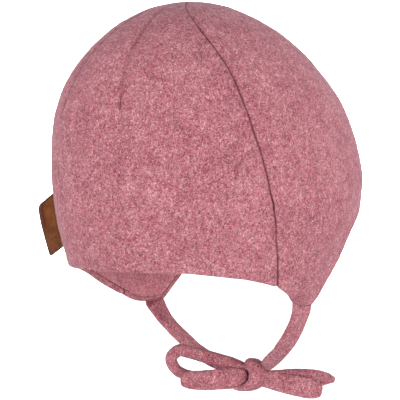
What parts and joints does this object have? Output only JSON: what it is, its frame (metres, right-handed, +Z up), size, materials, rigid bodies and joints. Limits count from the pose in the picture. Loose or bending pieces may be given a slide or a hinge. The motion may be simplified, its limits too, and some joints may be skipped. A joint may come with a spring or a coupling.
{
  "type": "winter hat",
  "caption": "Toddler's bonnet-style winter hat: rounded fleece crown with side seams, deep nape, pointed ear flaps and soft ties knotted in a bow under the chin",
  "frame": {"origin": "on the inside of the crown, above the middle of the wearer's head, where the hat sits on the head", "axes": "+Z up through the crown; the face looks along -Y and the nape is at +Y; the wearer's right is -X and left is +X"},
  "size_m": [0.1574, 0.1763, 0.2067],
  "materials": {
    "fleece": "matte",
    "leather": "satin"
  },
  "bodies": {
    "root": {"back_panel": "fleece", "front_panel": "fleece", "lining": "fleece", "label_tab": "leather", "bow_knot": "fleece", "bow_loop_left": "fleece", "bow_tail_left": "fleece", "bow_loop_right": "fleece", "bow_tail_right": "fleece", "right_tie": "fleece", "left_tie": "fleece"}
  },
  "joints": []
}
